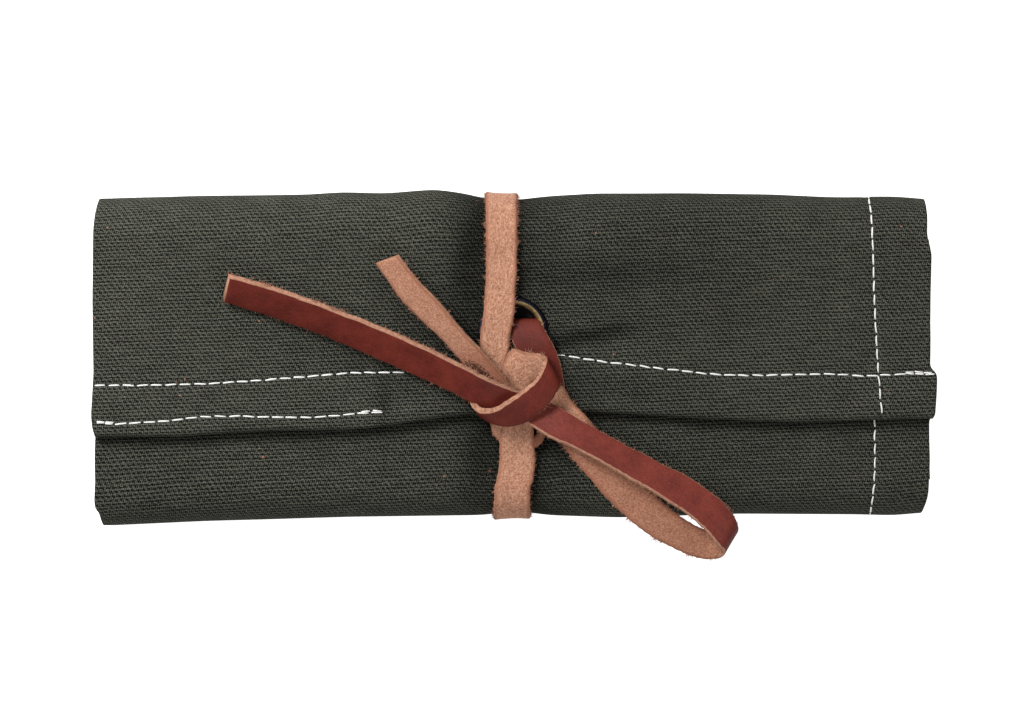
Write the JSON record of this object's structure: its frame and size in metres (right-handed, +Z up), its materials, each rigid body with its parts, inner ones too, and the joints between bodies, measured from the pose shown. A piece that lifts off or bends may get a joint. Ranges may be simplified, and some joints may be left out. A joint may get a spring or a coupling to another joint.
{
  "type": "watch roll",
  "caption": "Flat rolled canvas watch roll with a hemmed flap, tied shut by a flat leather lace that passes through a grommet and ends in a one-sided bow.",
  "frame": {"origin": "on the resting face of the back panel, midway along the roll and midway between its two folds", "axes": "+X along the roll towards the hemmed side, +Y from the bottom fold to the top fold, +Z up from the resting face to the flap"},
  "size_m": [0.2418, 0.1052, 0.0377],
  "materials": {
    "canvas": "heavy plain-weave cotton duck, matt",
    "canvas_inside": "the same duck, second ply",
    "thread": "heavy cotton thread, undyed",
    "lace_grain": "smooth waxed grain side",
    "lace_flesh": "napped flesh side",
    "grommet": "blackened brass, worn bright at the crest",
    "grommet_inside": "dull brass"
  },
  "bodies": {
    "back": {"back_outer_ply": "canvas", "back_inner_ply": "canvas_inside", "back_side_thread": "thread", "sleeve_seam_thread": "thread", "lace_back_run": "lace_grain"},
    "top_edge": {"top_edge_outer_ply": "canvas", "top_edge_inner_ply": "canvas_inside", "top_edge_side_thread": "thread", "lace_top_edge": "lace_flesh"},
    "flap": {"flap_outer_ply": "canvas", "flap_inner_ply": "canvas_inside", "flap_hem_turning": "canvas", "grommet_shell": "grommet", "grommet_washer": "grommet_inside", "hem_thread": "thread", "closing_thread": "thread", "flap_side_thread": "thread", "lace_upper_run": "lace_flesh", "lace_grommet_strap": "lace_grain", "knot_wrap": "lace_grain", "bow_loop": "lace_grain", "grain_tail": "lace_grain", "flesh_tail": "lace_flesh"},
    "front": {"front_outer_ply": "canvas", "front_inner_ply": "canvas_inside", "inner_fold_outer_ply": "canvas", "inner_fold_inner_ply": "canvas_inside", "tongue_outer_ply": "canvas", "tongue_inner_ply": "canvas_inside", "front_side_thread": "thread", "lace_lower_run": "lace_flesh", "knot_hitch": "lace_flesh"}
  },
  "joints": [
    {"name": "flap_lift", "type": "hinge", "parent": "back", "child": "top_edge", "pos_m": [0, 0.0423, 0.0037], "axis": [-1, 0, 0], "range_deg": [0, 85]},
    {"name": "flap_turn", "type": "hinge", "parent": "top_edge", "child": "flap", "pos_m": [0, 0.0423, 0.0223], "axis": [-1, 0, 0], "range_deg": [0, 85]},
    {"name": "front_lift", "type": "hinge", "parent": "back", "child": "front", "pos_m": [0, -0.04615, 0.0111], "axis": [1, 0, 0], "range_deg": [0, 17]}
  ],
  "couplings": [
    {"joint": "flap_turn", "follows": "flap_lift", "ratio": 1},
    {"joint": "front_lift", "follows": "flap_lift", "ratio": 0.2}
  ]
}
